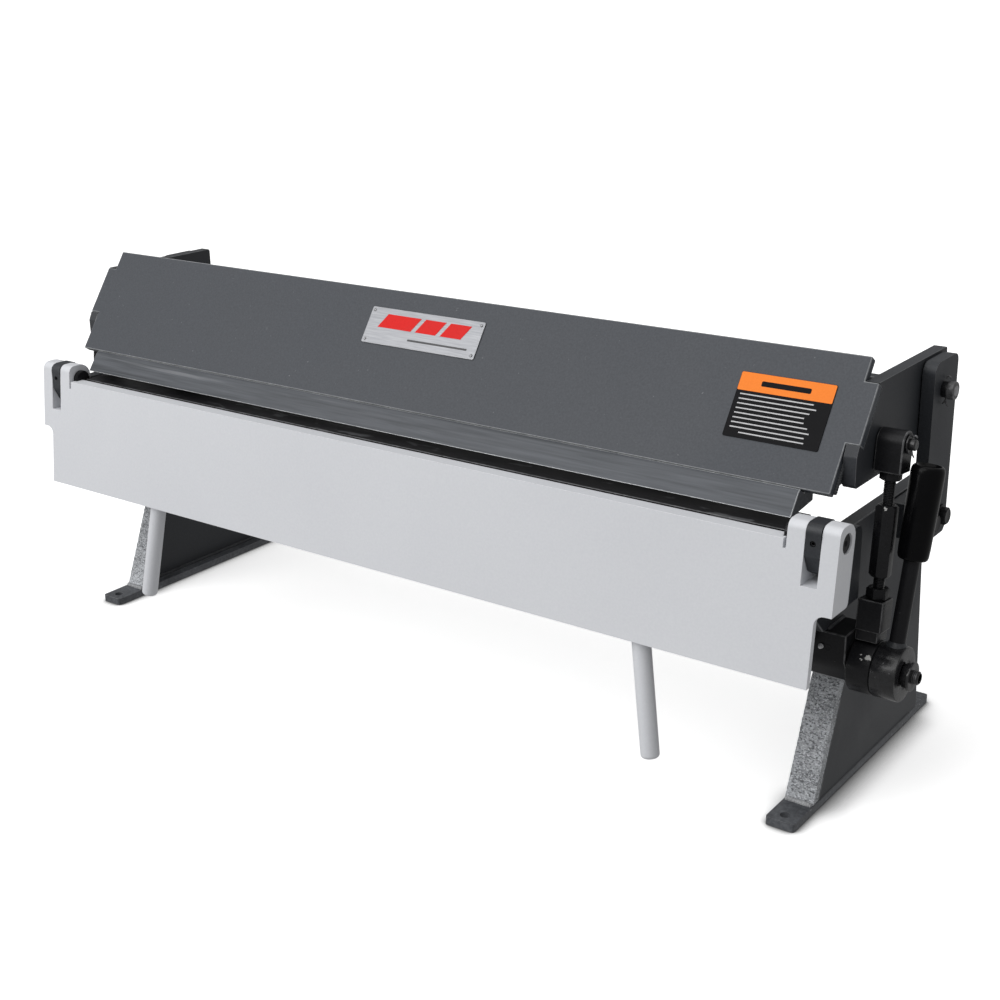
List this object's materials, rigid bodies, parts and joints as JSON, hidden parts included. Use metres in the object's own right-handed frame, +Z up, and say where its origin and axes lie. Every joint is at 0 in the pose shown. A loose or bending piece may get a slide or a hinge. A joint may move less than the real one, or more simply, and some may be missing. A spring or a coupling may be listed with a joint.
{
  "type": "sheet metal brake",
  "caption": "Bench-top sheet metal brake: a hinged apron under a sloping clamping beam, drawn down by a threaded link and eccentric lever at each end.",
  "frame": {"origin": "on the bench plane, under the centre of the bounding box", "axes": "+X to the operator's right along the bending edge, +Y to the rear, +Z up"},
  "size_m": [1.114, 0.3624, 0.4258],
  "materials": {
    "panel_grey": "dark grey hammered paint, satin",
    "nose_grey": "oiled ground steel, satin",
    "dark_grey": "charcoal paint, satin",
    "apron_paint": "light grey enamel, satin",
    "black_steel": "black paint over steel, semi-gloss, worn at edges",
    "grip_black": "glossy black moulded grip",
    "silver": "brushed sheet",
    "orange": "printed vinyl label"
  },
  "bodies": {
    "frame": {"left_foot_plate": "dark_grey", "left_leg_flange": "dark_grey", "left_side_plate": "dark_grey", "left_bearing_block": "black_steel", "left_arm": "dark_grey", "left_arm_spacer": "dark_grey", "left_pivot_bolt": "black_steel", "left_pivot_collar": "black_steel", "left_hinge_bracket": "dark_grey", "left_hinge_pin": "black_steel", "left_set_screw": "black_steel", "left_apron_stop": "black_steel", "right_foot_plate": "dark_grey", "right_leg_flange": "dark_grey", "right_side_plate": "dark_grey", "right_bearing_block": "black_steel", "right_arm": "dark_grey", "right_arm_spacer": "dark_grey", "right_pivot_bolt": "black_steel", "right_pivot_collar": "black_steel", "right_hinge_bracket": "dark_grey", "right_hinge_pin": "black_steel", "right_set_screw": "black_steel", "right_apron_stop": "black_steel", "bed_jaw": "black_steel", "bed_beam": "dark_grey", "rear_tie_bar": "dark_grey"},
    "apron": {"apron_leaf": "apron_paint", "left_handle_rod": "apron_paint", "right_handle_rod": "apron_paint"},
    "clamp_beam": {"clamp_panel": "panel_grey", "nose_bar": "nose_grey", "nameplate": "silver", "label_plate": "orange", "beam_back_rail": "dark_grey", "left_end_plate": "dark_grey", "left_link_pin": "black_steel", "right_end_plate": "dark_grey", "right_link_pin": "black_steel"},
    "left_link": {"left_link_eye": "black_steel", "left_upper_lock_nut": "black_steel", "left_lower_lock_nut": "black_steel", "left_strap": "black_steel"},
    "left_turnbuckle_body": {"left_turnbuckle": "black_steel"},
    "left_lever": {"left_eccentric_shaft": "black_steel", "left_lever_hub": "black_steel", "left_hub_nut": "black_steel", "left_lever_rod": "black_steel", "left_grip": "grip_black"},
    "right_link": {"right_link_eye": "black_steel", "right_upper_lock_nut": "black_steel", "right_lower_lock_nut": "black_steel", "right_strap": "black_steel"},
    "right_turnbuckle_body": {"right_turnbuckle": "black_steel"},
    "right_lever": {"right_eccentric_shaft": "black_steel", "right_lever_hub": "black_steel", "right_hub_nut": "black_steel", "right_lever_rod": "black_steel", "right_grip": "grip_black"}
  },
  "joints": [
    {"name": "apron_hinge", "type": "hinge", "parent": "frame", "child": "apron", "pos_m": [0, -0.1427, 0.2915], "axis": [-1, 0, 0], "range_deg": [0, 125]},
    {"name": "right_lever_turn", "type": "hinge", "parent": "frame", "child": "right_lever", "pos_m": [0.5105, -0.0696, 0.1505], "axis": [1, 0, 0], "range_deg": [0, 90]},
    {"name": "left_lever_turn", "type": "hinge", "parent": "frame", "child": "left_lever", "pos_m": [-0.5105, -0.0696, 0.1505], "axis": [1, 0, 0], "range_deg": [0, 90]},
    {"name": "beam_tilt", "type": "hinge", "parent": "frame", "child": "clamp_beam", "pos_m": [0, 0.0578, 0.377], "axis": [1, 0, 0], "range_deg": [0, 2.65]},
    {"name": "left_link_swing", "type": "hinge", "parent": "clamp_beam", "child": "left_link", "pos_m": [-0.5105, -0.0492, 0.355], "axis": [1, 0, 0], "range_deg": [-4.45, 0]},
    {"name": "left_turnbuckle_spin", "type": "hinge", "parent": "left_link", "child": "left_turnbuckle_body", "pos_m": [-0.5105, -0.05819, 0.26697], "axis": [0, 0.1017, 0.9948], "continuous": true},
    {"name": "right_link_swing", "type": "hinge", "parent": "clamp_beam", "child": "right_link", "pos_m": [0.5105, -0.0492, 0.355], "axis": [1, 0, 0], "range_deg": [-4.45, 0]},
    {"name": "right_turnbuckle_spin", "type": "hinge", "parent": "right_link", "child": "right_turnbuckle_body", "pos_m": [0.5105, -0.05819, 0.26697], "axis": [0, 0.1017, 0.9948], "continuous": true}
  ],
  "couplings": [
    {"joint": "left_lever_turn", "follows": "right_lever_turn", "ratio": 1},
    {"joint": "beam_tilt", "follows": "right_lever_turn", "ratio": 0.028889},
    {"joint": "left_link_swing", "follows": "right_lever_turn", "ratio": -0.048556},
    {"joint": "right_link_swing", "follows": "right_lever_turn", "ratio": -0.048556}
  ]
}
